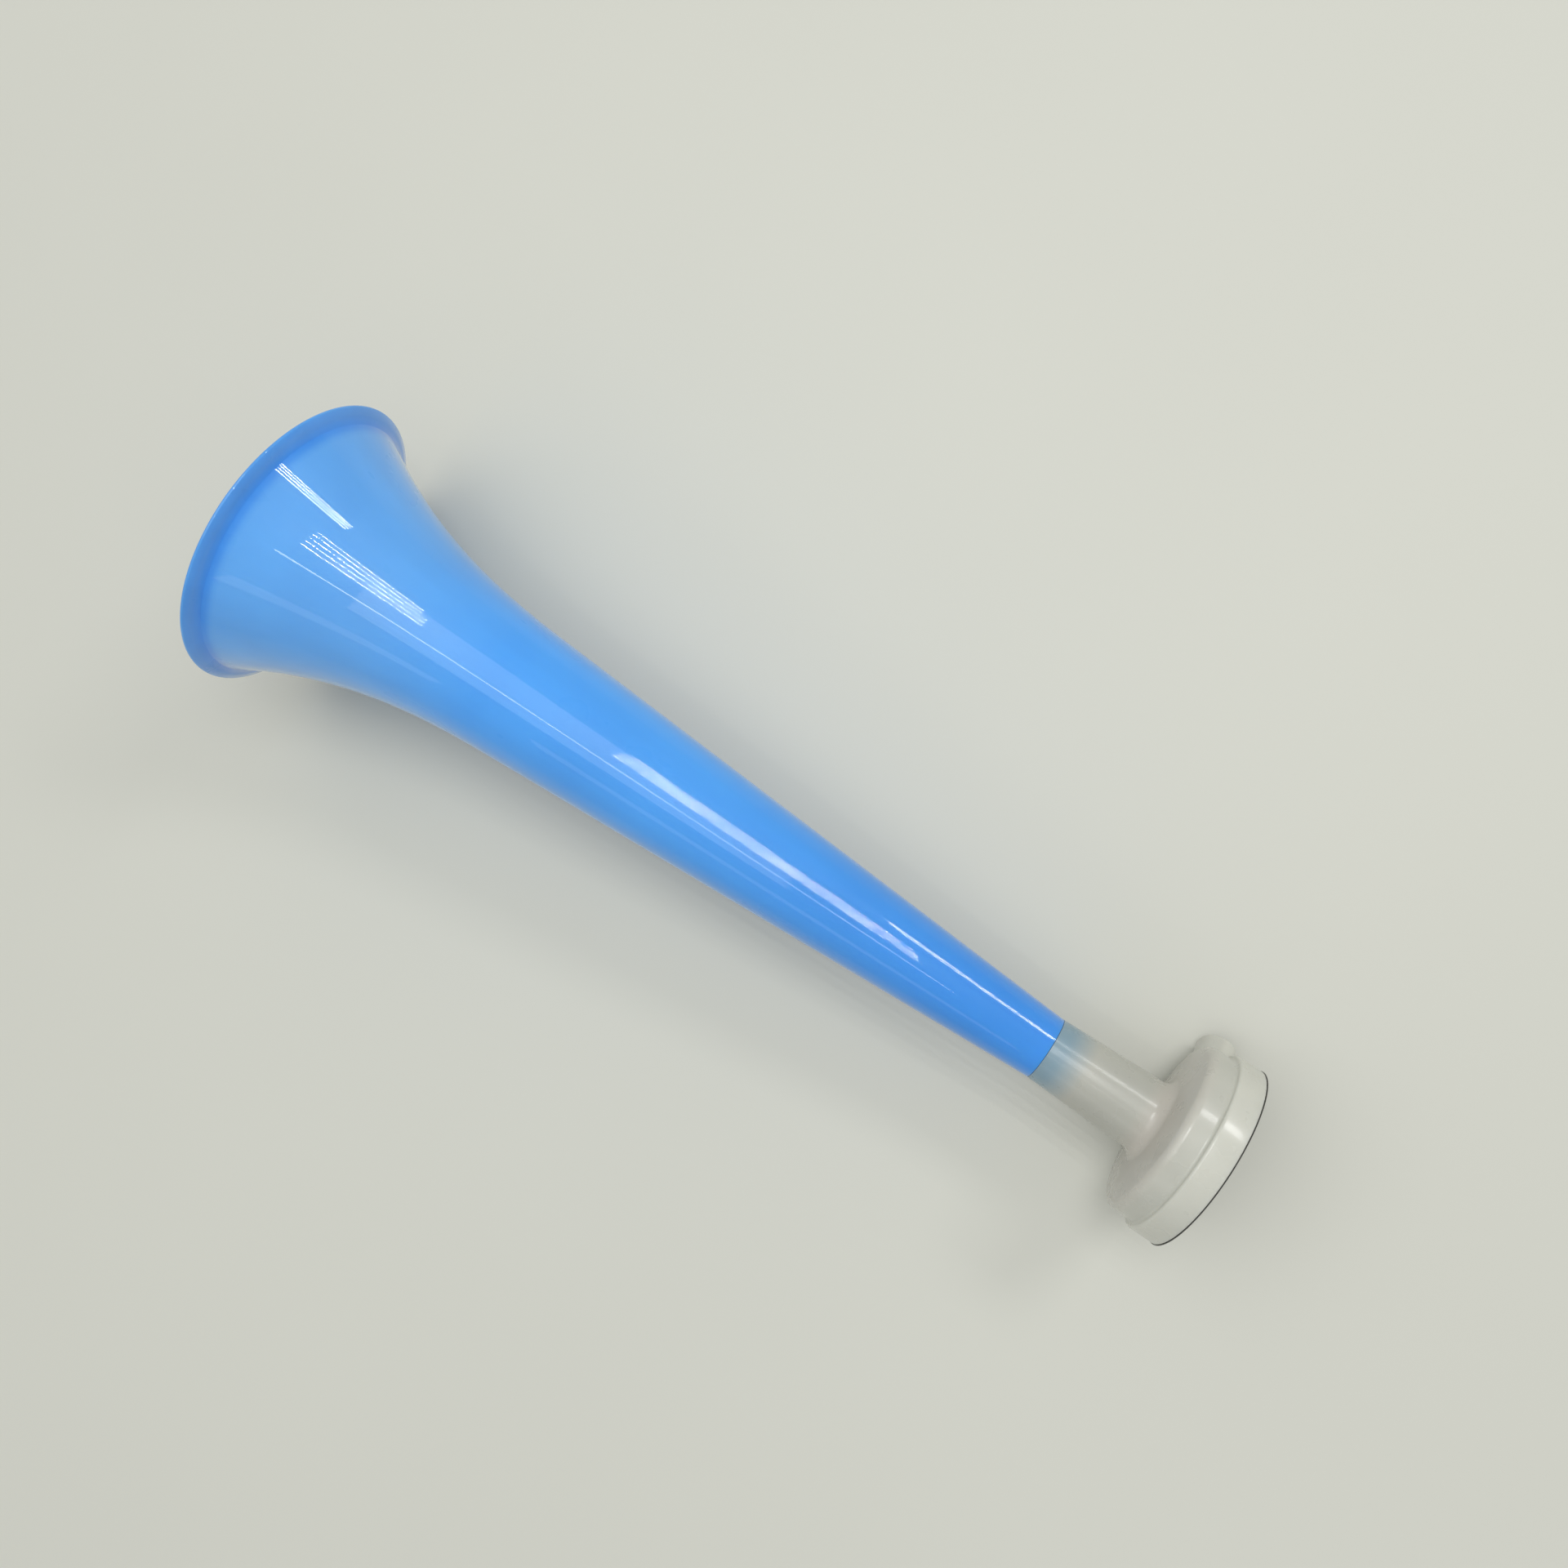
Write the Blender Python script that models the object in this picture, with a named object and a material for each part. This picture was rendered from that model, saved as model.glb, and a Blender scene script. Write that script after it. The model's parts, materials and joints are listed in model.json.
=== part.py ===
"""Stadium horn: a push-together membrane horn lying on its side.

The bell is a blue moulding whose small end is a spigot in the stem of the white head. The head's cup is closed at
the back by a thin film, which a push-in hoop holds taut against a tube in the middle of the cup. Air blown in at the
nozzle fills the cup, lifts the film off that tube and leaves through the bell.

Each piece is turned about the horn's own axis. Along that axis a station is a distance back from the mouth of the
bell, so the head has the large stations. The axis is tilted so that the lip of the bell and the edge of the film
rest on the ground, and the horn is rolled so that the nozzle rests there too. Lengths are in metres.
"""

from math import cos, hypot, pi, radians, sin, sqrt

import bmesh
import bpy
from mathutils import Matrix, Vector

# Bell
BELL_LENGTH = 0.2817
MOUTH_RADIUS = 0.0500
LIP_DEPTH = 0.0034
LIP_EDGE_RADIUS = 0.0008
LIP_BACK_DEPTH = 0.00255
LIP_BACK_SHARE = 0.55
FLARE_MOUTH_RADIUS = 0.0473
FLARE_LENGTH = 0.092
FLARE_POWER = 2.5
CONE_MOUTH_RADIUS = 0.0272
BELL_END_RADIUS = 0.0100
BELL_WALL = 0.0013
SPIGOT_LENGTH = 0.0150
SPIGOT_WALL = 0.0012
BORE_RADIUS = 0.0072
THROAT_LENGTH = 0.0040

# Head
HEAD_LENGTH = 0.0545
STEM_FOOT_RADIUS = 0.0111
DRUM_DEPTH = 0.0168
DRUM_RADIUS = 0.0276
DRUM_EDGE_RADIUS = 0.0028
DRUM_EDGE_START = 165
BAND_DEPTH = 0.0084
BAND_RADIUS = 0.0294
BAND_EDGE_RADIUS = 0.0007
SHOULDER_RISE = 0.0012
SHOULDER_FILLET = 0.0036
CUP_WALL = 0.0018
CHIMNEY_WALL = 0.0018

# Seat for the film in the mouth of the cup
SEAT_DEPTH = 0.0025
SEAT_RIM = 0.0020

# Blow nozzle
NOZZLE_RADIUS = 0.0060
NOZZLE_BORE_RADIUS = 0.0040
NOZZLE_SETBACK = 0.0086
NOZZLE_ROOT_RISE = 0.0005
NOZZLE_DROP = radians(45)
NOZZLE_EDGE_RADIUS = 0.0009

# Film and hoop
FILM_THICKNESS = 0.0003
FILM_OVERHANG = 0.0005
HOOP_WIDTH = 0.0025
HOOP_PROUD = 0.0010
HOOP_EDGE_RADIUS = 0.0006

# Gap between pieces that touch
GAP = 0.0003

# Facets
BELL_SIDES = 64
HEAD_SIDES = 56
NOZZLE_SIDES = 28
FLARE_STEPS = 14
FLARE_CROWDING = 1.4
CONE_STEPS = 3
ARC_STEPS = 4

# Stations and radii that follow from the sizes above
SPIGOT_RADIUS = BORE_RADIUS + SPIGOT_WALL
SPIGOT_END = BELL_LENGTH + SPIGOT_LENGTH
STEM_START = BELL_LENGTH + GAP
RIM = STEM_START + HEAD_LENGTH
SEAT = RIM - SEAT_DEPTH
DRUM_FRONT = RIM - DRUM_DEPTH
BAND_FRONT = RIM - BAND_DEPTH
NOZZLE_STATION = RIM - NOZZLE_SETBACK
CUP_RADIUS = DRUM_RADIUS - CUP_WALL
SEAT_RADIUS = BAND_RADIUS - SEAT_RIM
CHIMNEY_RADIUS = BORE_RADIUS + CHIMNEY_WALL
FILM_RADIUS = BAND_RADIUS + FILM_OVERHANG
FILM_EDGE = RIM + GAP + FILM_THICKNESS
TILT_RUN = FILM_EDGE
TILT_RISE = MOUTH_RADIUS - FILM_RADIUS

COLOURS = {
    "bell": (0.10, 0.36, 0.83, 1.0),
    "head": (0.74, 0.75, 0.71, 1.0),
    "membrane": (0.05, 0.05, 0.05, 1.0),
    "hoop": (0.70, 0.71, 0.68, 1.0),
}
ROUGHNESS = {"bell": 0.22, "head": 0.28, "membrane": 0.35, "hoop": 0.35}


def clear_scene():
    """Empty the scene that the script runs in."""
    for thing in list(bpy.data.objects):
        bpy.data.objects.remove(thing, do_unlink=True)


def plastic(name):
    """A plain moulded plastic in the piece's own colour."""
    material = bpy.data.materials.new(name)
    material.use_nodes = True
    shader = material.node_tree.nodes["Principled BSDF"]
    shader.inputs["Base Color"].default_value = COLOURS[name]
    shader.inputs["Roughness"].default_value = ROUGHNESS[name]
    shader.inputs["Metallic"].default_value = 0.0
    return material


def arc(station, radius, size, start, end, steps=ARC_STEPS):
    """Points on an arc round (station, radius). An angle of 0 points along the stations, 90 away from the axis."""
    points = []
    for step in range(steps + 1):
        angle = radians(start + (end - start) * step / steps)
        points.append((station + size * cos(angle), radius + size * sin(angle)))
    return points


def turned(name, outline, sides):
    """Spin a closed outline of (station, radius) points about the horn's axis.

    An outline that starts and ends on the axis is closed there by merging its ends into poles.
    """
    mesh = bpy.data.meshes.new(name)
    shape = bmesh.new()
    corners = [shape.verts.new((-station, 0.0, -radius)) for station, radius in outline]
    edges = [shape.edges.new(pair) for pair in zip(corners, corners[1:])]
    if outline[0][1] > 0.0:
        edges.append(shape.edges.new((corners[-1], corners[0])))
    bmesh.ops.spin(
        shape,
        geom=corners + edges,
        cent=(0.0, 0.0, 0.0),
        axis=(1.0, 0.0, 0.0),
        angle=2 * pi,
        steps=sides,
        use_merge=True,
    )
    bmesh.ops.remove_doubles(shape, verts=shape.verts, dist=0.000001)
    bmesh.ops.recalc_face_normals(shape, faces=shape.faces)
    shape.to_mesh(mesh)
    shape.free()
    mesh.shade_smooth()
    mesh.set_sharp_from_angle(angle=radians(35))
    piece = bpy.data.objects.new(name, mesh)
    bpy.context.collection.objects.link(piece)
    return piece


def helper(piece):
    """Mark a shape that only cuts or fills another one."""
    piece.hide_render = True
    piece.display_type = "WIRE"


def combine(piece, other, operation):
    """Join another shape to a piece, or cut it out."""
    step = piece.modifiers.new(other.name, "BOOLEAN")
    step.operation = operation
    step.solver = "EXACT"
    step.object = other


def cone_radius(station):
    """Outer radius of the bell's straight taper."""
    share = station / BELL_LENGTH
    return CONE_MOUTH_RADIUS + (BELL_END_RADIUS - CONE_MOUTH_RADIUS) * share


def bell_radius(station):
    """Outer radius of the bell's wall: the taper, and the flare that rises from it towards the mouth."""
    flare = max(0.0, 1.0 - station / FLARE_LENGTH) ** FLARE_POWER
    return cone_radius(station) + (FLARE_MOUTH_RADIUS - CONE_MOUTH_RADIUS) * flare


def bell_bore(station):
    """Inner radius of the bell, the wall measured square to the surface."""
    reach = 0.0001
    slope = (bell_radius(station + reach) - bell_radius(station)) / reach
    return bell_radius(station) - BELL_WALL * hypot(1.0, slope)


def bell_stations(start, end):
    """Stations along the wall, closest where the flare bends most."""
    shares = [(step / FLARE_STEPS) ** FLARE_CROWDING for step in range(FLARE_STEPS + 1)]
    flare = [start + (FLARE_LENGTH - start) * share for share in shares]
    cone = [FLARE_LENGTH + (end - FLARE_LENGTH) * step / CONE_STEPS for step in range(1, CONE_STEPS + 1)]
    return flare + cone


def lip():
    """Front face, rounded edge and sloping back of the lip, from the bore to the crease behind it."""
    edge = LIP_EDGE_RADIUS
    inner = bell_bore(0.0)
    crease = bell_radius(LIP_DEPTH)
    points = [(0.0, inner)]
    points += arc(edge, MOUTH_RADIUS - edge, edge, 180, 60)
    points.append((LIP_BACK_DEPTH, MOUTH_RADIUS - (MOUTH_RADIUS - crease) * LIP_BACK_SHARE))
    return points


def make_bell():
    """Bell: lip, flare, taper, shoulder and the spigot that goes into the head."""
    throat = BELL_LENGTH - THROAT_LENGTH
    outline = lip()
    outline += [(station, bell_radius(station)) for station in bell_stations(LIP_DEPTH, BELL_LENGTH)]
    outline += [
        (BELL_LENGTH, SPIGOT_RADIUS),
        (SPIGOT_END - SPIGOT_WALL / 2, SPIGOT_RADIUS),
        (SPIGOT_END, SPIGOT_RADIUS - SPIGOT_WALL / 2),
        (SPIGOT_END, BORE_RADIUS),
        (BELL_LENGTH, BORE_RADIUS),
    ]
    inside = bell_stations(LIP_DEPTH, throat)
    outline += [(station, bell_bore(station)) for station in reversed(inside)]
    return turned("bell", outline, BELL_SIDES)


def shoulder():
    """Outside of the head between the stem and the drum: a fillet, a shallow cone and a rounded edge."""
    edge = DRUM_EDGE_RADIUS
    fillet = SHOULDER_FILLET
    stem_end = DRUM_FRONT - SHOULDER_RISE - fillet
    points = arc(stem_end, STEM_FOOT_RADIUS + fillet, fillet, 270, 360, ARC_STEPS + 1)
    points += arc(DRUM_FRONT + edge, DRUM_RADIUS - edge, edge, DRUM_EDGE_START, 90)
    return points


def band():
    """Outside of the thicker rear band, from its front step to the rim."""
    edge = BAND_EDGE_RADIUS
    points = [(BAND_FRONT, DRUM_RADIUS)]
    points += arc(BAND_FRONT + edge, BAND_RADIUS - edge, edge, 180, 90, 3)
    points.append((RIM, BAND_RADIUS))
    return points


def head_inside():
    """Inside of the head: the film's seat, the chamber, the chimney, the bore and the socket for the bell."""
    wall = DRUM_FRONT + CUP_WALL
    socket = SPIGOT_END + GAP
    return [
        (RIM, SEAT_RADIUS),
        (SEAT, SEAT_RADIUS),
        (SEAT, CUP_RADIUS),
        (wall + CUP_WALL, CUP_RADIUS),
        (wall, CUP_RADIUS - CUP_WALL),
        (wall, CHIMNEY_RADIUS),
        (SEAT, CHIMNEY_RADIUS),
        (SEAT, BORE_RADIUS),
        (socket, BORE_RADIUS),
        (socket, SPIGOT_RADIUS + GAP),
        (STEM_START, SPIGOT_RADIUS + GAP),
    ]


def nozzle_reach():
    """Distance of the nozzle's tip from the horn's axis, at which its lowest point touches the ground."""
    slope = TILT_RISE / TILT_RUN
    height = MOUTH_RADIUS - slope * NOZZLE_STATION
    drop = sin(NOZZLE_DROP)
    lean = sqrt(cos(NOZZLE_DROP) ** 2 + slope ** 2)
    edge = NOZZLE_EDGE_RADIUS
    level = edge * sqrt(1.0 + slope ** 2)
    return edge + (height - level - (NOZZLE_RADIUS - edge) * lean) / drop


def aim_nozzle(piece):
    """Turn a shape made along the horn's axis so that it points out of the cup as the nozzle does."""
    out = Vector((0.0, -cos(NOZZLE_DROP), -sin(NOZZLE_DROP)))
    turn = Vector((-1.0, 0.0, 0.0)).rotation_difference(out).to_matrix().to_4x4()
    piece.data.transform(Matrix.Translation((-NOZZLE_STATION, 0.0, 0.0)) @ turn)


def make_head():
    """Head: stem, cup, chimney and nozzle in one piece."""
    outline = [(STEM_START, BELL_END_RADIUS)]
    outline += shoulder()
    outline += band()
    outline += head_inside()
    head = turned("head", outline, HEAD_SIDES)

    root = CUP_RADIUS + NOZZLE_ROOT_RISE
    tip = nozzle_reach()
    edge = NOZZLE_EDGE_RADIUS
    blank = [(root, 0.0), (root, NOZZLE_RADIUS)]
    blank += arc(tip - edge, NOZZLE_RADIUS - edge, edge, 90, 0)
    blank.append((tip, 0.0))
    spout = turned("nozzle_blank", blank, NOZZLE_SIDES)
    hole = [
        (CUP_RADIUS - CUP_WALL * 2, 0.0),
        (CUP_RADIUS - CUP_WALL * 2, NOZZLE_BORE_RADIUS),
        (tip + CUP_WALL, NOZZLE_BORE_RADIUS),
        (tip + CUP_WALL, 0.0),
    ]
    bore = turned("nozzle_bore", hole, NOZZLE_SIDES)
    for shape, operation in ((spout, "UNION"), (bore, "DIFFERENCE")):
        aim_nozzle(shape)
        helper(shape)
        combine(head, shape, operation)
    return head, [spout, bore]


def make_membrane():
    """Film: flat over the cup and its chimney, turned up along the seat and out over the rim."""
    front = SEAT + GAP
    wall = SEAT_RADIUS - GAP
    thick = FILM_THICKNESS
    outline = [
        (front, 0.0),
        (front, CHIMNEY_RADIUS),
        (front, wall),
        (RIM + GAP, wall),
        (RIM + GAP, FILM_RADIUS),
        (RIM + GAP + thick, FILM_RADIUS),
        (RIM + GAP + thick, wall - thick),
        (front + thick, wall - thick),
        (front + thick, CHIMNEY_RADIUS),
        (front + thick, 0.0),
    ]
    return turned("membrane", outline, HEAD_SIDES)


def make_hoop():
    """Hoop: a push-in ring inside the turned-up wall of the film."""
    front = SEAT + 2 * GAP + FILM_THICKNESS
    back = RIM + HOOP_PROUD
    outer = SEAT_RADIUS - 2 * GAP - FILM_THICKNESS
    inner = outer - HOOP_WIDTH
    edge = HOOP_EDGE_RADIUS
    outline = [(front, inner), (front, outer - edge / 2), (front + edge / 2, outer)]
    outline += arc(back - edge, outer - edge, edge, 90, 0, 3)
    outline.append((back, inner))
    return turned("hoop", outline, HEAD_SIDES)


def lay_down(pieces, helpers):
    """Tilt the horn onto its lip and film edge, with the middle of its base at the origin."""
    axis = bpy.data.objects.new("horn_axis", None)
    bpy.context.collection.objects.link(axis)
    for piece in pieces + helpers:
        piece.parent = axis
    run = hypot(TILT_RUN, TILT_RISE)
    axis_x = Vector((TILT_RUN / run, 0.0, TILT_RISE / run))
    axis_z = Vector((-TILT_RISE / run, 0.0, TILT_RUN / run))
    turn = Matrix((axis_x, Vector((0.0, 1.0, 0.0)), axis_z)).transposed()
    axis.rotation_euler = turn.to_euler()

    low = Vector((1.0, 1.0, 1.0))
    high = Vector((-1.0, -1.0, -1.0))
    for piece in pieces + [helpers[0]]:
        for corner in piece.data.vertices:
            place = turn @ corner.co
            low = Vector(map(min, low, place))
            high = Vector(map(max, high, place))
    axis.location = (-(low.x + high.x) / 2, -(low.y + high.y) / 2, -low.z)


def main():
    clear_scene()
    bell = make_bell()
    head, helpers = make_head()
    membrane = make_membrane()
    hoop = make_hoop()
    pieces = [bell, head, membrane, hoop]
    for piece in pieces:
        piece.data.materials.append(plastic(piece.name))
    lay_down(pieces, helpers)


main()
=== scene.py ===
"""Looks of the stadium horn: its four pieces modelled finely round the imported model, with their finishes.

Every piece but the floor is turned about the horn's own axis. Along that axis a station is a distance back
from the mouth of the bell, so a piece is modelled with its stations along -X and is then laid down onto the
frame's axis.
"""

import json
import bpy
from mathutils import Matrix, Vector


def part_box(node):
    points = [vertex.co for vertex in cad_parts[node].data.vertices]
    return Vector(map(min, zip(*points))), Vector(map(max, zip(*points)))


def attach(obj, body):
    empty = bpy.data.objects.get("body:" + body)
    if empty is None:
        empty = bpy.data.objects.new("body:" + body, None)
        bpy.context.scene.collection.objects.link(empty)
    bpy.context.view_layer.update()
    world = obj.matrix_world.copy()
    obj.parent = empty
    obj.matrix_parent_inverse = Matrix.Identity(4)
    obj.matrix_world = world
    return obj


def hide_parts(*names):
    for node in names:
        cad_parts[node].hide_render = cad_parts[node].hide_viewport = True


bl_info = {
    "name": "Stadium horn",
    "version": (1, 0, 0),
    "blender": (4, 5, 0),
    "location": "3D View > Sidebar > Horn",
    "description": "Models a membrane horn piece by piece on its packed frame",
    "category": "Add Mesh",
}

from math import atan2, cos, hypot, pi, radians, sin, sqrt

import bpy
from bpy.props import FloatProperty, FloatVectorProperty, IntProperty, PointerProperty
from mathutils import Matrix, Vector

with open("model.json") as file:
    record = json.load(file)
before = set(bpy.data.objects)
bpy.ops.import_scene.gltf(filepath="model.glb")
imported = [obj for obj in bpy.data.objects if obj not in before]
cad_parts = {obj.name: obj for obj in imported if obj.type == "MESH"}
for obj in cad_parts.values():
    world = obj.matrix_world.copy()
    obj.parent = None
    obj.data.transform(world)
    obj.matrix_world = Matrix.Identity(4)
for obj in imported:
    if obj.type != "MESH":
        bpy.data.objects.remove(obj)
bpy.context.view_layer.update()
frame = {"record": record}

# Sizes of the moulding that the frame doesn't state, in metres
LIP_EDGE = 0.0008
LIP_BACK = 0.00255
LIP_BACK_SHARE = 0.55
FLARE_MOUTH = 0.0473
FLARE_LENGTH = 0.092
FLARE_POWER = 2.5
FLARE_CROWDING = 1.4
FLARE_STEPS = 44
CONE_STEPS = 24
CONE_MOUTH = 0.0272
THROAT = 0.004
SPIGOT_LENGTH = 0.015
SPIGOT_WALL = 0.0012
SHOULDER_RISE = 0.0012
SHOULDER_FILLET = 0.0036
DRUM_EDGE = 0.0028
DRUM_EDGE_START = 165
BAND_EDGE = 0.0009
STEP_FILLET = 0.0009
SEAT_DEPTH = 0.0025
SEAT_RIM = 0.0020
CHIMNEY_WALL = 0.0018
GAP = 0.0003
SEAM = 0.0001
FILM_SPACE = 0.0003
FILM_THICKNESS = 0.00015
FILM_OVERHANG = 0.0002
HOOP_PROUD = 0.0010
HOOP_EDGE = 0.0006
JOINT_CHAMFER = 0.00006
SMALL_ROUND = 0.0003
NOZZLE_DROP = radians(45)
NOZZLE_EDGE = 0.0009
NOZZLE_SINK = 0.0010
NOZZLE_FOOT = 0.0012

# How the turned meshes are made, in metres and radians
SEED_SIZE = 0.001
SAME_POINT = 0.000001
SLOPE_REACH = 0.0001
SMOOTH_BELOW = radians(40)

# The horn's axis, read from the frame: the way the mouth faces, and the middle of the mouth
FACING = Vector(frame["record"]["mounts"][0]["axis"])
BELL_LOW, BELL_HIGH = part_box("bell")
MOUTH_RADIUS = (BELL_HIGH[1] - BELL_LOW[1]) / 2
MOUTH = Vector((
    BELL_HIGH[0] - (MOUTH_RADIUS - LIP_EDGE) * FACING.z,
    0.0,
    (BELL_LOW[2] + BELL_HIGH[2]) / 2 + LIP_EDGE * FACING.z,
))
SLOPE = atan2(FACING.z, FACING.x)
LAID_DOWN = Matrix.Translation(MOUTH) @ Matrix.Rotation(-SLOPE, 4, "Y")

# The camera: where it stands, the heading of the horn below it and how far it leans
CAMERA_AT = Vector((-0.08375, -0.05081, 0.45147))
CAMERA_LENS = 31.754
CAMERA_SENSOR = 36.0
CAMERA_NEAR = 0.01
HORN_HEADING = 0.58883
LEAN_DOWN = -0.04670
LEAN_RIGHT = 0.19380

# The stage: the floor's width, the light of the surroundings, and the backdrop seen past the floor
FLOOR_WIDTH = 6.0
SURROUNDINGS = (0.46, 0.47, 0.47, 1.0)
BACKDROP = (0.72, 0.73, 0.70, 1.0)
LAMP_TARGET = Vector((0.0, 0.0, 0.03))

# The lamps: name, how many in a row, place of the first, step along Y to the next, size, and power of each
LAMPS = (
    ("soft_box", 1, (0.55, -0.02, 1.7), 0.0, (1.6, 1.6), 9.6),
    ("strip_over", 1, (-0.05, 0.17, 1.2), 0.0, (0.62, 0.024), 0.40),
    ("strip_side", 4, (-0.62, -1.20, 1.2), -0.10, (0.62, 0.02), 1.3),
    ("strip_mid", 5, (-0.1, -0.18, 1.2), -0.10, (0.42, 0.006), 0.70),
    ("strip_far", 1, (-0.12, 1.35, 1.2), 0.0, (0.9, 0.25), 0.5),
)

# Sockets of the Mix node for colours, whose names are those of its other kinds too
MIX_SHARE = 0
MIX_FIRST = 6
MIX_SECOND = 7
MIX_RESULT = 2

# How a pattern is drawn out: evenly, in long lines down the horn, or in rings round it
EVEN = (1.0, 1.0, 1.0)
LONG_LINES = (0.12, 1.0, 1.0)
LONG_SMUDGES = (0.5, 1.0, 1.0)
RINGS = (1.0, 0.02, 0.02)
UPRIGHT_PULLS = (1.0, 1.0, 0.25)

# How far noise strays from its middle before a shade or a roughness is at its end
SHADE_SPREAD = 0.2
ROUGHNESS_SPREAD = 0.15

# Where the bell's blue changes: depths behind the lip, stations, and a share of the bell's length
# The deeper blue of the crease is painted shade, and the paler blue of the flare is painted light let
# through its thin wall.
CREASE_SHADE_DEPTH = 0.0008
PAINTED_LIGHT_DEPTH = 0.0030
PAINTED_LIGHT_END = 0.045
BLUE_START = 0.085
BLUE_END = 0.160
NARROW_START = 0.9

# Where the head's white changes: depth of the spigot's full tint, share of the spigot where it ends, and how
# far before and behind the stem's foot the painted warm reflection reaches
TINT_DEPTH = 0.004
TINT_END = 0.8
REFLECTION_START = 0.008
REFLECTION_FULL = 0.002
REFLECTION_END = 0.004

# Multipliers of the head's white: painted shade on the stem, a painted warm reflection at its foot, by
# channel, and painted light on the band
STEM_PAINTED_SHADE = 0.83
FOOT_PAINTED_REFLECTION = (0.97, 0.91, 0.91)
BAND_PAINTED_LIGHT = 1.14


class HornSizes(bpy.types.PropertyGroup):
    """Sizes that a user would change."""

    bell_length: FloatProperty(
        name="Bell length", description="Mouth to the joint with the stem",
        default=0.2817, min=0.2, max=0.4, unit="LENGTH",
    )
    lip_depth: FloatProperty(
        name="Lip depth", description="Depth of the lip along the axis",
        default=0.0034, min=0.001, max=0.01, unit="LENGTH",
    )
    bell_wall: FloatProperty(
        name="Bell wall", description="Thickness of the bell's wall",
        default=0.0013, min=0.0005, max=0.003, unit="LENGTH",
    )
    end_radius: FloatProperty(
        name="Small end radius", description="Outer radius where the bell meets the stem",
        default=0.0100, min=0.008, max=0.02, unit="LENGTH",
    )
    bore: FloatProperty(
        name="Bore radius", description="Radius of the bore through spigot and chimney",
        default=0.0072, min=0.003, max=0.01, unit="LENGTH",
    )
    head_length: FloatProperty(
        name="Head length", description="Stem and cup together",
        default=0.0545, min=0.04, max=0.08, unit="LENGTH",
    )
    stem_foot: FloatProperty(
        name="Stem foot radius", description="Outer radius of the stem at the cup",
        default=0.0111, min=0.01, max=0.02, unit="LENGTH",
    )
    drum_depth: FloatProperty(
        name="Cup depth", description="Depth of the cup from its shoulder to its rim",
        default=0.0168, min=0.01, max=0.03, unit="LENGTH",
    )
    drum_radius: FloatProperty(
        name="Drum radius", description="Radius of the cup's front step",
        default=0.0276, min=0.02, max=0.04, unit="LENGTH",
    )
    band_depth: FloatProperty(
        name="Band depth", description="Depth of the thicker rear band",
        default=0.0084, min=0.004, max=0.015, unit="LENGTH",
    )
    band_radius: FloatProperty(
        name="Band radius", description="Radius of the thicker rear band",
        default=0.0294, min=0.02, max=0.04, unit="LENGTH",
    )
    cup_wall: FloatProperty(
        name="Cup wall", description="Thickness of the cup's wall",
        default=0.0018, min=0.001, max=0.003, unit="LENGTH",
    )
    nozzle_radius: FloatProperty(
        name="Nozzle radius", description="Outer radius of the blow nozzle",
        default=0.0060, min=0.004, max=0.01, unit="LENGTH",
    )
    nozzle_bore: FloatProperty(
        name="Nozzle bore radius", description="Inner radius of the blow nozzle",
        default=0.0040, min=0.002, max=0.008, unit="LENGTH",
    )
    nozzle_setback: FloatProperty(
        name="Nozzle setback", description="Distance of the nozzle's middle from the cup's rim",
        default=0.0086, min=0.006, max=0.012, unit="LENGTH",
    )
    hoop_width: FloatProperty(
        name="Hoop width", description="Radial width of the retaining hoop",
        default=0.0025, min=0.001, max=0.005, unit="LENGTH",
    )
    sides: IntProperty(
        name="Sides", description="Facets round each turned piece", default=192, min=48, max=256,
    )


class HornColours(bpy.types.PropertyGroup):
    """Colours that a user would change."""

    bell: FloatVectorProperty(
        name="Bell", description="Blue of the taper", subtype="COLOR", size=3,
        min=0.0, max=1.0, default=(0.072, 0.350, 0.930),
    )
    bell_narrow: FloatVectorProperty(
        name="Bell, narrow end", description="Deeper blue of the taper's narrow end",
        subtype="COLOR", size=3, min=0.0, max=1.0, default=(0.044, 0.274, 0.800),
    )
    # Painted light: a paler blue that stands in for light let through the flare's thin wall.
    bell_painted_light: FloatVectorProperty(
        name="Bell, thin wall", description="Paler blue where the flare's wall lets light through",
        subtype="COLOR", size=3, min=0.0, max=1.0, default=(0.120, 0.400, 0.900),
    )
    # Painted shade: a deeper blue that stands in for the shade in the crease behind the lip.
    bell_crease_shade: FloatVectorProperty(
        name="Bell, crease", description="Deep blue in the crease behind the lip", subtype="COLOR",
        size=3, min=0.0, max=1.0, default=(0.045, 0.285, 0.850),
    )
    bell_lip: FloatVectorProperty(
        name="Bell, lip", description="Blue of the rounded lip", subtype="COLOR", size=3,
        min=0.0, max=1.0, default=(0.085, 0.325, 0.800),
    )
    head: FloatVectorProperty(
        name="Head", description="Milky white of the head", subtype="COLOR", size=3,
        min=0.0, max=1.0, default=(0.530, 0.530, 0.468),
    )
    head_over_spigot: FloatVectorProperty(
        name="Head over the spigot", description="Milky white with the blue spigot behind it",
        subtype="COLOR", size=3, min=0.0, max=1.0, default=(0.225, 0.330, 0.392),
    )
    film: FloatVectorProperty(
        name="Film", description="Dark film", subtype="COLOR", size=3,
        min=0.0, max=1.0, default=(0.085, 0.085, 0.078),
    )
    hoop: FloatVectorProperty(
        name="Hoop", description="White of the retaining hoop", subtype="COLOR", size=3,
        min=0.0, max=1.0, default=(0.560, 0.565, 0.520),
    )
    floor: FloatVectorProperty(
        name="Floor", description="Pale floor", subtype="COLOR", size=3,
        min=0.0, max=1.0, default=(0.635, 0.635, 0.568),
    )


def sizes():
    """The sizes as they are set now."""
    return bpy.context.scene.horn_sizes


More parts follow.
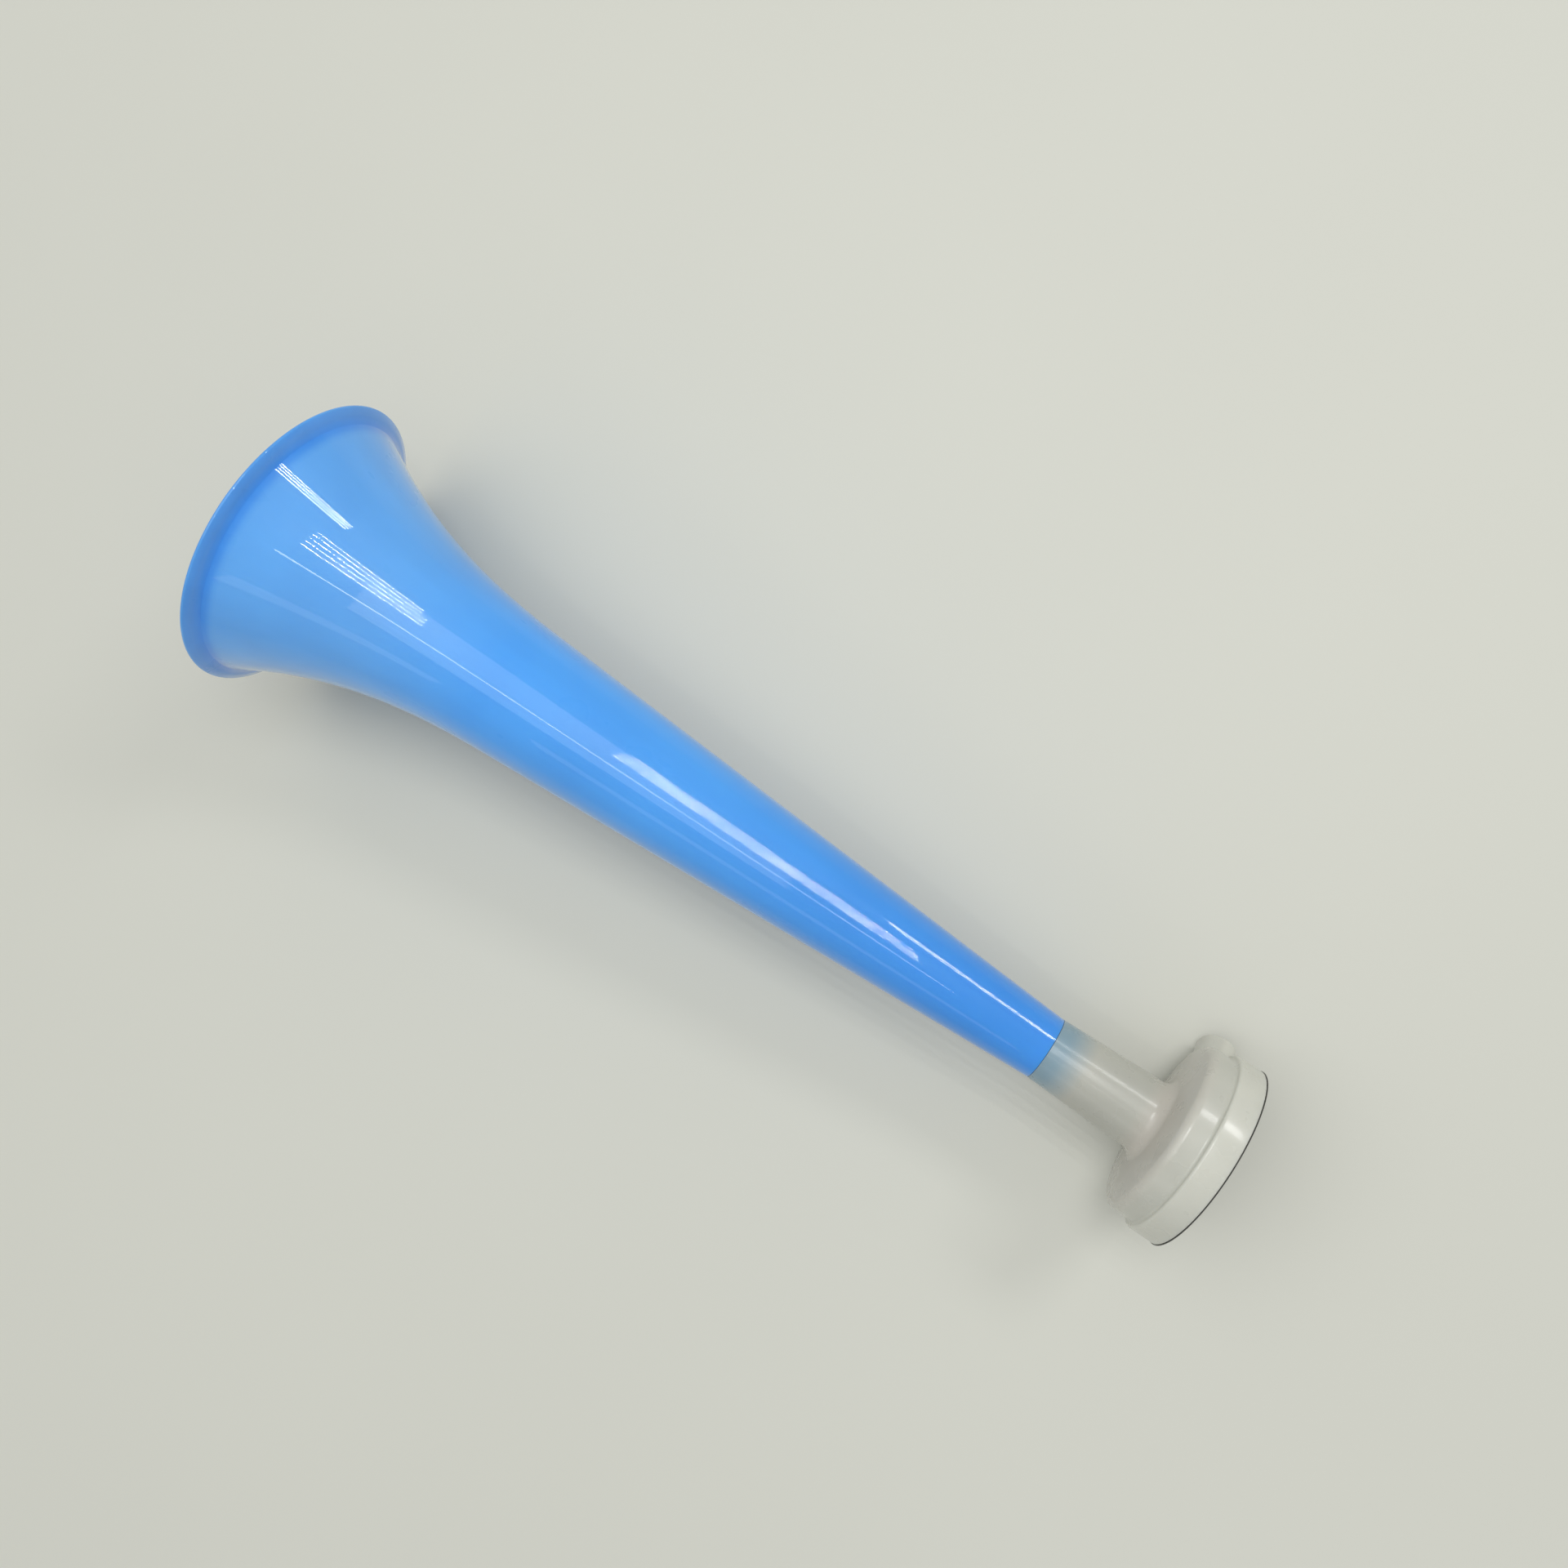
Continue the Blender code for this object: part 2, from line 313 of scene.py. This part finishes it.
def colours():
    """The colours as they are set now."""
    return bpy.context.scene.horn_colours


def arc(station, radius, size, start, end, steps):
    """Points on an arc round (station, radius). Angle 0 points along the stations, 90 away from the axis."""
    points = []
    for step in range(steps + 1):
        angle = radians(start + (end - start) * step / steps)
        points.append((station + size * cos(angle), radius + size * sin(angle)))
    return points


def turned(name, outline, closed=True):
    """Draw an outline of (station, radius) points by extruding one point, and spin it about the X axis."""
    bpy.ops.object.select_all(action="DESELECT")
    bpy.ops.mesh.primitive_plane_add(size=SEED_SIZE)
    piece = bpy.context.object
    piece.name = name
    piece.data.name = name
    bpy.ops.object.mode_set(mode="EDIT")
    bpy.ops.mesh.select_mode(type="VERT")
    bpy.ops.mesh.select_all(action="SELECT")
    bpy.ops.mesh.merge(type="CENTER")
    path = outline + [outline[0]] if closed else outline
    corners = [Vector((-station, 0.0, radius)) for station, radius in path]
    bpy.ops.transform.translate(value=corners[0])
    for here, there in zip(corners, corners[1:]):
        bpy.ops.mesh.extrude_region_move(TRANSFORM_OT_translate={"value": there - here})
    bpy.ops.mesh.select_all(action="SELECT")
    bpy.ops.mesh.remove_doubles(threshold=SAME_POINT)
    bpy.ops.mesh.spin(steps=sizes().sides, angle=2 * pi, center=(0.0, 0.0, 0.0), axis=(1.0, 0.0, 0.0))
    bpy.ops.mesh.select_all(action="SELECT")
    bpy.ops.mesh.remove_doubles(threshold=SAME_POINT)
    bpy.ops.mesh.normals_make_consistent(inside=False)
    bpy.ops.object.mode_set(mode="OBJECT")
    return piece


def combine(piece, other, operation):
    """Join another shape to a piece, or cut it out, and delete that shape."""
    bpy.ops.object.select_all(action="DESELECT")
    piece.select_set(True)
    bpy.context.view_layer.objects.active = piece
    step = piece.modifiers.new(other.name, "BOOLEAN")
    step.operation = operation
    step.solver = "EXACT"
    step.object = other
    bpy.ops.object.modifier_apply(modifier=step.name)
    bpy.data.objects.remove(other)


def lay_down(piece, material, body, node):
    """Lay a turned piece onto the horn's axis, smooth it, and let it stand for its node on its body."""
    piece.matrix_world = LAID_DOWN
    bpy.ops.object.select_all(action="DESELECT")
    piece.select_set(True)
    bpy.context.view_layer.objects.active = piece
    bpy.ops.object.transform_apply(location=True, rotation=True, scale=True)
    bpy.ops.object.shade_smooth_by_angle(angle=SMOOTH_BELOW)
    piece.data.materials.clear()
    piece.data.materials.append(material)
    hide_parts(node)
    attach(piece, body)


def cone_radius(station):
    """Outer radius of the bell's straight taper."""
    share = station / sizes().bell_length
    return CONE_MOUTH + (sizes().end_radius - CONE_MOUTH) * share


def bell_radius(station):
    """Outer radius of the bell's wall: the taper, and the flare that rises from it towards the mouth."""
    flare = max(0.0, 1.0 - station / FLARE_LENGTH) ** FLARE_POWER
    return cone_radius(station) + (FLARE_MOUTH - CONE_MOUTH) * flare


def bell_bore(station):
    """Inner radius of the bell, the wall measured square to the surface."""
    slope = (bell_radius(station + SLOPE_REACH) - bell_radius(station)) / SLOPE_REACH
    return bell_radius(station) - sizes().bell_wall * hypot(1.0, slope)


def wall_stations(start, end):
    """Stations along the wall, closest where the flare bends most."""
    shares = [(step / FLARE_STEPS) ** FLARE_CROWDING for step in range(FLARE_STEPS + 1)]
    flare = [start + (FLARE_LENGTH - start) * share for share in shares]
    cone = [FLARE_LENGTH + (end - FLARE_LENGTH) * step / CONE_STEPS for step in range(1, CONE_STEPS + 1)]
    return flare + cone


def bell_outline():
    """Lip, flare, taper, small end and spigot, and the bore back to the mouth."""
    size = sizes()
    radius = MOUTH_RADIUS
    crease = bell_radius(size.lip_depth)
    throat = size.bell_length - THROAT
    spigot = size.bore + SPIGOT_WALL
    spigot_end = size.bell_length + SPIGOT_LENGTH
    small = size.end_radius
    points = arc(SMALL_ROUND, bell_bore(0.0) + SMALL_ROUND, SMALL_ROUND, 270, 180, 4)
    points += arc(LIP_EDGE, radius - LIP_EDGE, LIP_EDGE, 180, 60, 14)
    points.append((LIP_BACK, radius - (radius - crease) * LIP_BACK_SHARE))
    points += [(s, bell_radius(s)) for s in wall_stations(size.lip_depth, size.bell_length - JOINT_CHAMFER)]
    points += [(size.bell_length, small - JOINT_CHAMFER), (size.bell_length, spigot)]
    points += arc(spigot_end - SPIGOT_WALL / 2, spigot - SPIGOT_WALL / 2, SPIGOT_WALL / 2, 90, 0, 6)
    points += [(spigot_end, size.bore), (size.bell_length, size.bore)]
    points += [(s, bell_bore(s)) for s in reversed(wall_stations(size.lip_depth, throat))]
    return points


def head_outline():
    """Stem, shoulder, drum and band outside; seat, chamber, chimney, bore and socket inside."""
    size = sizes()
    start = size.bell_length + GAP
    rim = start + size.head_length
    seat = rim - SEAT_DEPTH
    front = rim - size.drum_depth
    band = rim - size.band_depth
    cup = size.drum_radius - size.cup_wall
    seat_radius = size.band_radius - SEAT_RIM
    chimney = size.bore + CHIMNEY_WALL
    socket = size.bore + SPIGOT_WALL + GAP
    wall = front + size.cup_wall
    foot = front - SHOULDER_RISE - SHOULDER_FILLET
    front_end = size.bell_length + SEAM
    points = [(front_end, size.end_radius - JOINT_CHAMFER), (front_end + JOINT_CHAMFER, size.end_radius)]
    points += arc(foot, size.stem_foot + SHOULDER_FILLET, SHOULDER_FILLET, 270, 360, 14)
    points += arc(front + DRUM_EDGE, size.drum_radius - DRUM_EDGE, DRUM_EDGE, DRUM_EDGE_START, 90, 14)
    points += arc(band - STEP_FILLET, size.drum_radius + STEP_FILLET, STEP_FILLET, 270, 360, 8)
    points += arc(band + BAND_EDGE, size.band_radius - BAND_EDGE, BAND_EDGE, 180, 90, 8)
    points += arc(rim - SMALL_ROUND, size.band_radius - SMALL_ROUND, SMALL_ROUND, 90, 0, 4)
    points += arc(rim - SMALL_ROUND, seat_radius + SMALL_ROUND, SMALL_ROUND, 0, -90, 4)
    points += [(seat, seat_radius), (seat, cup)]
    points += arc(wall + size.cup_wall, cup - size.cup_wall, size.cup_wall, 90, 180, 8)
    points += arc(wall + SMALL_ROUND, chimney + SMALL_ROUND, SMALL_ROUND, 180, 270, 4)
    points += arc(seat - SMALL_ROUND, chimney - SMALL_ROUND, SMALL_ROUND, 90, 0, 4)
    points += arc(seat - SMALL_ROUND, size.bore + SMALL_ROUND, SMALL_ROUND, 0, -90, 4)
    points += [(start + SPIGOT_LENGTH, size.bore), (start + SPIGOT_LENGTH, socket), (front_end, socket)]
    return points


def nozzle_station():
    """Station of the nozzle's middle."""
    return sizes().bell_length + GAP + sizes().head_length - sizes().nozzle_setback


def nozzle_reach():
    """Distance of the nozzle's tip from the horn's axis, at which its lowest point touches the ground."""
    slope = FACING.z / FACING.x
    height = MOUTH_RADIUS - slope * nozzle_station()
    lean = sqrt(cos(NOZZLE_DROP) ** 2 + slope ** 2)
    level = NOZZLE_EDGE * hypot(1.0, slope)
    return NOZZLE_EDGE + (height - level - (sizes().nozzle_radius - NOZZLE_EDGE) * lean) / sin(NOZZLE_DROP)


def aimed(piece):
    """Turn a shape made along the stations so that it points out of the cup as the nozzle does."""
    out = Vector((0.0, -cos(NOZZLE_DROP), -sin(NOZZLE_DROP)))
    turn = Vector((-1.0, 0.0, 0.0)).rotation_difference(out).to_matrix().to_4x4()
    piece.matrix_world = Matrix.Translation((-nozzle_station(), 0.0, 0.0)) @ turn
    bpy.context.view_layer.update()
    return piece


def nozzle_blank():
    """Solid nozzle with a flared foot that runs out in the cup's wall, and a rounded end."""
    size = sizes()
    root = size.drum_radius - size.cup_wall + NOZZLE_SINK
    surface = size.band_radius
    tip = nozzle_reach()
    foot = NOZZLE_FOOT
    points = [(root, 0.0), (root, size.nozzle_radius + foot), (surface - foot, size.nozzle_radius + foot)]
    points += arc(surface + foot / 2, size.nozzle_radius + foot, foot, 180, 270, 8)
    points += arc(tip - NOZZLE_EDGE, size.nozzle_radius - NOZZLE_EDGE, NOZZLE_EDGE, 90, 0, 8)
    points.append((tip, 0.0))
    return aimed(turned("nozzle_blank", points, closed=False))


def nozzle_drill():
    """The nozzle's bore, countersunk at its end."""
    size = sizes()
    inner = size.drum_radius - size.cup_wall * 2
    tip = nozzle_reach()
    points = [
        (inner, 0.0),
        (inner, size.nozzle_bore),
        (tip - SMALL_ROUND, size.nozzle_bore),
        (tip + size.cup_wall, size.nozzle_bore + size.cup_wall + SMALL_ROUND),
        (tip + size.cup_wall, 0.0),
    ]
    return aimed(turned("nozzle_drill", points, closed=False))


def film_outline():
    """Film over the cup and chimney, turned up along the seat and out over the rim, with a trimmed edge."""
    size = sizes()
    rim = size.bell_length + GAP + size.head_length
    seat = rim - SEAT_DEPTH
    front = seat + GAP
    wall = size.band_radius - SEAT_RIM - GAP
    edge = size.band_radius + FILM_OVERHANG
    thick = FILM_THICKNESS
    chimney = size.bore + CHIMNEY_WALL
    back = rim + SEAM
    points = [(front, 0.0), (front, chimney), (front, wall), (back, wall)]
    points += arc(back + thick / 2, edge - thick / 2, thick / 2, 180, 0, 6)
    points += [(back + thick, wall - thick), (front + thick, wall - thick)]
    points += [(front + thick, chimney), (front + thick, 0.0)]
    return points


def hoop_outline():
    """Push-in ring with a bevelled front and a rounded back edge."""
    size = sizes()
    rim = size.bell_length + GAP + size.head_length
    front = rim - SEAT_DEPTH + 2 * GAP + FILM_SPACE
    back = rim + HOOP_PROUD
    outer = size.band_radius - SEAT_RIM - 2 * GAP - FILM_SPACE
    inner = outer - size.hoop_width
    edge = HOOP_EDGE
    points = [(front, inner), (front, outer - edge / 2), (front + edge / 2, outer)]
    points += arc(back - edge, outer - edge, edge, 90, 0, 8)
    points += arc(back - edge, inner + edge, edge, 0, -90, 8)
    return points


def new_material(name):
    """A material with only its Principled shader and output, its node tree and that shader."""
    material = bpy.data.materials.new(name)
    material.use_nodes = True
    return material, material.node_tree, material.node_tree.nodes["Principled BSDF"]


def add_node(tree, kind, **values):
    """Add a node and set its properties, or where it has none of that name, its inputs."""
    made = tree.nodes.new(kind)
    for key, value in values.items():
        if hasattr(made, key):
            setattr(made, key, value)
        else:
            made.inputs[key.replace("_", " ").title()].default_value = value
    return made


def along_axis(tree):
    """The place on the horn, measured from the middle of the mouth, with the stations along -X."""
    place = add_node(tree, "ShaderNodeTexCoord")
    turn = add_node(tree, "ShaderNodeMapping", vector_type="TEXTURE")
    turn.inputs["Location"].default_value = MOUTH
    turn.inputs["Rotation"].default_value = (0.0, -SLOPE, 0.0)
    tree.links.new(place.outputs["Object"], turn.inputs["Vector"])
    return turn.outputs["Vector"]


def plain_colour(tree, colour):
    """One colour all over."""
    base = add_node(tree, "ShaderNodeRGB")
    base.outputs[0].default_value = (*colour, 1.0)
    return base.outputs[0]


def stretched_noise(tree, place, stretch, scale, detail=3.0):
    """Noise drawn out along some of the horn's own directions."""
    spread = add_node(tree, "ShaderNodeVectorMath", operation="MULTIPLY")
    spread.inputs[1].default_value = stretch
    tree.links.new(place, spread.inputs[0])
    noise = add_node(tree, "ShaderNodeTexNoise", scale=scale, detail=detail)
    tree.links.new(spread.outputs[0], noise.inputs["Vector"])
    return noise.outputs["Fac"]


def station_ramp(tree, place, stops):
    """Colour by station. Each stop is (station, colour)."""
    split = add_node(tree, "ShaderNodeSeparateXYZ")
    tree.links.new(place, split.inputs[0])
    spread = add_node(tree, "ShaderNodeMapRange")
    reach = stops[-1][0]
    spread.inputs["From Min"].default_value = 0.0
    spread.inputs["From Max"].default_value = -reach
    tree.links.new(split.outputs["X"], spread.inputs["Value"])
    ramp = add_node(tree, "ShaderNodeValToRGB")
    marks = ramp.color_ramp.elements
    while len(marks) < len(stops):
        marks.new(0.5)
    for mark, (station, colour) in zip(marks, stops):
        mark.position = max(0.0, station) / reach
        mark.color = (*colour, 1.0)
    tree.links.new(spread.outputs["Result"], ramp.inputs["Fac"])
    return ramp.outputs["Color"]


def levelled(tree, noise, spread, low, high):
    """A value that runs from low to high as the noise runs across its middle."""
    level = add_node(tree, "ShaderNodeMapRange")
    level.inputs["From Min"].default_value = 0.5 - spread
    level.inputs["From Max"].default_value = 0.5 + spread
    level.inputs["To Min"].default_value = low
    level.inputs["To Max"].default_value = high
    tree.links.new(noise, level.inputs["Value"])
    return level.outputs["Result"]


def shaded(tree, colour, noise, low, high):
    """Multiply a colour by a value that runs from low to high with the noise."""
    scale = add_node(tree, "ShaderNodeVectorMath", operation="SCALE")
    tree.links.new(colour, scale.inputs[0])
    tree.links.new(levelled(tree, noise, SHADE_SPREAD, low, high), scale.inputs["Scale"])
    return scale.outputs[0]


def roughened(tree, shader, noise, low, high):
    """Let the roughness run from low to high with the noise, as smudges and handling marks do."""
    tree.links.new(levelled(tree, noise, ROUGHNESS_SPREAD, low, high), shader.inputs["Roughness"])


def bumped(tree, shader, heights, distance, socket="Normal"):
    """Bump from several height fields, each with its own strength, one after the other."""
    normal = None
    for height, strength in heights:
        bump = add_node(tree, "ShaderNodeBump")
        bump.inputs["Strength"].default_value = strength
        bump.inputs["Distance"].default_value = distance
        tree.links.new(height, bump.inputs["Height"])
        if normal:
            tree.links.new(normal, bump.inputs["Normal"])
        normal = bump.outputs["Normal"]
    tree.links.new(normal, shader.inputs[socket])


def bell_plastic():
    """Translucent blue moulding with faint flow lines, painted paler in the flare for light let through its
    thin wall, and painted darker in the crease as shade.
    """
    size = sizes()
    tint = colours()
    material, tree, shader = new_material("blue_moulding")
    place = along_axis(tree)
    stops = [
        (0.0, tint.bell_lip),
        (LIP_BACK, tint.bell_lip),
        # Painted shade in the crease behind the lip.
        (size.lip_depth, tint.bell_crease_shade),
        (size.lip_depth + CREASE_SHADE_DEPTH, tint.bell_crease_shade),
        # Painted light: paler blue for light let through the thin flare.
        (size.lip_depth + PAINTED_LIGHT_DEPTH, tint.bell_painted_light),
        (PAINTED_LIGHT_END, tint.bell_painted_light),
        (BLUE_START, tint.bell),
        (BLUE_END, tint.bell),
        (size.bell_length * NARROW_START, tint.bell_narrow),
        (size.bell_length + SPIGOT_LENGTH, tint.bell_narrow),
    ]
    colour = station_ramp(tree, place, stops)
    flow = stretched_noise(tree, place, LONG_LINES, scale=90.0)
    cloud = stretched_noise(tree, place, EVEN, scale=26.0, detail=2.0)
    colour = shaded(tree, colour, flow, low=0.96, high=1.04)
    colour = shaded(tree, colour, cloud, low=0.95, high=1.05)
    tree.links.new(colour, shader.inputs["Base Color"])
    smudge = stretched_noise(tree, place, LONG_SMUDGES, scale=60.0)
    roughened(tree, shader, smudge, low=0.26, high=0.38)
    grain = stretched_noise(tree, place, EVEN, scale=1400.0, detail=2.0)
    rings = stretched_noise(tree, place, RINGS, scale=900.0, detail=1.0)
    bumped(tree, shader, [(grain, 0.03), (rings, 0.03)], distance=0.0002)
    bumped(tree, shader, [(grain, 0.008), (rings, 0.008)], distance=0.0002, socket="Coat Normal")
    shader.inputs["Specular IOR Level"].default_value = 0.12
    shader.inputs["Subsurface Weight"].default_value = 0.35
    shader.inputs["Subsurface Radius"].default_value = (0.5, 0.8, 1.0)
    shader.inputs["Subsurface Scale"].default_value = 0.004
    shader.inputs["Coat Weight"].default_value = 1.0
    shader.inputs["Coat Roughness"].default_value = 0.015
    return material


def head_plastic():
    """Milky moulding: bluish over the spigot, with soft mottling, painted shade on the stem, a painted warm
    reflection at the stem's foot and painted light on the band.
    """
    size = sizes()
    tint = colours()
    material, tree, shader = new_material("milky_moulding")
    place = along_axis(tree)
    start = size.bell_length
    foot = start + size.head_length - size.drum_depth
    # Painted shade: the stem drawn darker than the same white elsewhere.
    stem = [part * STEM_PAINTED_SHADE for part in tint.head]
    # Painted reflection: a faint warm tint at the stem's foot.
    warm = [part * shade for part, shade in zip(tint.head, FOOT_PAINTED_REFLECTION)]
    # Painted light: the band drawn lighter than the same white elsewhere.
    pale = [part * BAND_PAINTED_LIGHT for part in tint.head]
    band = start + size.head_length - size.band_depth
    stops = [
        (0.0, tint.head_over_spigot),
        (start + TINT_DEPTH, tint.head_over_spigot),
        (start + SPIGOT_LENGTH * TINT_END, stem),
        (foot - REFLECTION_START, stem),
        (foot - REFLECTION_FULL, warm),
        (foot + REFLECTION_END, tint.head),
        (band - STEP_FILLET, tint.head),
        (band + BAND_EDGE, pale),
        (start + size.head_length, pale),
    ]
    colour = station_ramp(tree, place, stops)
    mottle = stretched_noise(tree, place, EVEN, scale=70.0, detail=4.0)
    colour = shaded(tree, colour, mottle, low=0.97, high=1.03)
    tree.links.new(colour, shader.inputs["Base Color"])
    smudge = stretched_noise(tree, place, EVEN, scale=110.0)
    roughened(tree, shader, smudge, low=0.24, high=0.36)
    sink = stretched_noise(tree, place, EVEN, scale=160.0, detail=1.0)
    bumped(tree, shader, [(sink, 0.05)], distance=0.0003)
    shader.inputs["Subsurface Weight"].default_value = 0.3
    shader.inputs["Subsurface Radius"].default_value = (1.0, 0.9, 0.8)
    shader.inputs["Subsurface Scale"].default_value = 0.004
    shader.inputs["Coat Weight"].default_value = 0.25
    shader.inputs["Coat Roughness"].default_value = 0.10
    return material


def film_plastic():
    """Thin dark film, slightly wrinkled by its stretch."""
    material, tree, shader = new_material("dark_film")
    place = along_axis(tree)
    base = plain_colour(tree, colours().film)
    dust = stretched_noise(tree, place, EVEN, scale=260.0, detail=5.0)
    tree.links.new(shaded(tree, base, dust, low=0.8, high=1.25), shader.inputs["Base Color"])
    roughened(tree, shader, dust, low=0.22, high=0.38)
    pull = stretched_noise(tree, place, UPRIGHT_PULLS, scale=150.0, detail=2.0)
    bumped(tree, shader, [(pull, 0.25), (dust, 0.04)], distance=0.0003)
    return material


def hoop_plastic():
    """Satin white moulding with fine grain."""
    material, tree, shader = new_material("satin_moulding")
    place = along_axis(tree)
    base = plain_colour(tree, colours().hoop)
    mottle = stretched_noise(tree, place, EVEN, scale=130.0, detail=4.0)
    tree.links.new(shaded(tree, base, mottle, low=0.95, high=1.04), shader.inputs["Base Color"])
    roughened(tree, shader, mottle, low=0.34, high=0.46)
    grain = stretched_noise(tree, place, EVEN, scale=1600.0, detail=2.0)
    bumped(tree, shader, [(grain, 0.08)], distance=0.0002)
    shader.inputs["Subsurface Weight"].default_value = 0.3
    shader.inputs["Subsurface Scale"].default_value = 0.003
    return material


def floor_paint():
    """Pale table top with a barely visible unevenness."""
    material, tree, shader = new_material("pale_floor")
    place = add_node(tree, "ShaderNodeTexCoord").outputs["Object"]
    base = plain_colour(tree, colours().floor)
    cloud = stretched_noise(tree, place, EVEN, scale=3.0)
    tree.links.new(shaded(tree, base, cloud, low=0.985, high=1.015), shader.inputs["Base Color"])
    shader.inputs["Roughness"].default_value = 0.65
    shader.inputs["Specular IOR Level"].default_value = 0.25
    return material


def lamp(name, place, size, power):
    """A rectangular lamp whose long side lies along X and which faces the horn."""
    light = bpy.data.lights.new(name, "AREA")
    light.shape = "RECTANGLE"
    light.size, light.size_y = size
    light.energy = power
    holder = bpy.data.objects.new(name, light)
    bpy.context.scene.collection.objects.link(holder)
    back = (Vector(place) - LAMP_TARGET).normalized()
    side = (Vector((1.0, 0.0, 0.0)) - back * back.x).normalized()
    up = back.cross(side)
    turn = Matrix((side, up, back)).transposed().to_4x4()
    holder.matrix_world = Matrix.Translation(place) @ turn


def photo_camera():
    """Camera at the photograph's place, looking down over the horn."""
    camera = bpy.data.cameras.new("camera")
    camera.lens = CAMERA_LENS
    camera.sensor_width = CAMERA_SENSOR
    camera.clip_start = CAMERA_NEAR
    holder = bpy.data.objects.new("camera", camera)
    bpy.context.scene.collection.objects.link(holder)
    # In the photograph the mouth is on the left and the frame's X runs towards it, so X is turned round
    turned_round = Matrix(((-1.0, 0.0, 0.0), (0.0, 1.0, 0.0), (0.0, 0.0, 1.0)))
    to_frame = turned_round @ Matrix.Rotation(-HORN_HEADING, 3, "Z")
    down = (sin(LEAN_DOWN) * sin(LEAN_RIGHT), cos(LEAN_DOWN), sin(LEAN_DOWN) * cos(LEAN_RIGHT))
    right = (cos(LEAN_RIGHT), 0.0, -sin(LEAN_RIGHT))
    image_right = to_frame @ Vector(right)
    image_up = -(to_frame @ Vector(down))
    turn = Matrix((image_right, image_up, image_right.cross(image_up))).transposed().to_4x4()
    holder.matrix_world = Matrix.Translation(CAMERA_AT) @ turn
    bpy.context.scene.camera = holder


def plain_world():
    """Even pale surroundings: a soft fill for the horn, and a paler backdrop where the camera sees them."""
    world = bpy.data.worlds.new("surroundings")
    bpy.context.scene.world = world
    world.use_nodes = True
    tree = world.node_tree
    shade = tree.nodes["Background"]
    shade.inputs["Strength"].default_value = 1.0
    path = add_node(tree, "ShaderNodeLightPath")
    mix = add_node(tree, "ShaderNodeMix", data_type="RGBA")
    mix.inputs[MIX_FIRST].default_value = SURROUNDINGS
    mix.inputs[MIX_SECOND].default_value = BACKDROP
    tree.links.new(path.outputs["Is Camera Ray"], mix.inputs[MIX_SHARE])
    tree.links.new(mix.outputs[MIX_RESULT], shade.inputs["Color"])


class HORN_OT_add_stage(bpy.types.Operator):
    """Add the floor, the lamps, the surroundings and the camera"""

    bl_idname = "horn.add_stage"
    bl_label = "Add stage"

    def execute(self, context):
        bpy.ops.object.select_all(action="DESELECT")
        bpy.ops.mesh.primitive_plane_add(size=FLOOR_WIDTH)
        floor = context.object
        floor.name = "floor"
        floor.data.materials.append(floor_paint())
        for name, count, first, step, size, power in LAMPS:
            for row in range(count):
                label = name if count == 1 else f"{name}_{row}"
                lamp(label, (first[0], first[1] + step * row, first[2]), size, power)
        plain_world()
        photo_camera()
        context.scene.view_settings.view_transform = "Standard"
        return {"FINISHED"}


class HORN_OT_add_bell(bpy.types.Operator):
    """Add the blue bell with its lip, flare, taper and spigot"""

    bl_idname = "horn.add_bell"
    bl_label = "Add bell"

    def execute(self, context):
        piece = turned("bell_moulding", bell_outline())
        lay_down(piece, bell_plastic(), "bell", "bell")
        return {"FINISHED"}


class HORN_OT_add_head(bpy.types.Operator):
    """Add the white head with its stem, cup, chimney and nozzle"""

    bl_idname = "horn.add_head"
    bl_label = "Add head"

    def execute(self, context):
        piece = turned("head_moulding", head_outline())
        combine(piece, nozzle_blank(), "UNION")
        combine(piece, nozzle_drill(), "DIFFERENCE")
        lay_down(piece, head_plastic(), "head", "head")
        return {"FINISHED"}


class HORN_OT_add_film(bpy.types.Operator):
    """Add the dark film over the back of the cup"""

    bl_idname = "horn.add_film"
    bl_label = "Add film"

    def execute(self, context):
        piece = turned("film", film_outline(), closed=False)
        lay_down(piece, film_plastic(), "membrane", "membrane")
        return {"FINISHED"}


class HORN_OT_add_hoop(bpy.types.Operator):
    """Add the hoop that holds the film taut"""

    bl_idname = "horn.add_hoop"
    bl_label = "Add hoop"

    def execute(self, context):
        piece = turned("retaining_hoop", hoop_outline())
        lay_down(piece, hoop_plastic(), "hoop", "hoop")
        return {"FINISHED"}


class HORN_PT_pieces(bpy.types.Panel):
    """The horn's pieces, sizes and colours"""

    bl_label = "Stadium horn"
    bl_idname = "HORN_PT_pieces"
    bl_space_type = "VIEW_3D"
    bl_region_type = "UI"
    bl_category = "Horn"

    def draw(self, context):
        column = self.layout.column()
        for operator in OPERATORS:
            column.operator(operator.bl_idname)
        for group in (context.scene.horn_sizes, context.scene.horn_colours):
            box = self.layout.box()
            for name in group.__annotations__:
                box.prop(group, name)


OPERATORS = (
    HORN_OT_add_stage,
    HORN_OT_add_bell,
    HORN_OT_add_head,
    HORN_OT_add_film,
    HORN_OT_add_hoop,
)
CLASSES = (HornSizes, HornColours) + OPERATORS + (HORN_PT_pieces,)


def register():
    """Register the classes and hang the sizes and colours on the scene."""
    for item in CLASSES:
        bpy.utils.register_class(item)
    bpy.types.Scene.horn_sizes = PointerProperty(type=HornSizes)
    bpy.types.Scene.horn_colours = PointerProperty(type=HornColours)


def unregister():
    """Take the sizes and colours off the scene and unregister the classes."""
    del bpy.types.Scene.horn_colours
    del bpy.types.Scene.horn_sizes
    for item in reversed(CLASSES):
        bpy.utils.unregister_class(item)


def main():
    """Build the stage and the four pieces."""
    register()
    bpy.ops.horn.add_stage()
    bpy.ops.horn.add_bell()
    bpy.ops.horn.add_head()
    bpy.ops.horn.add_film()
    bpy.ops.horn.add_hoop()


if __name__ == "__main__":
    main()
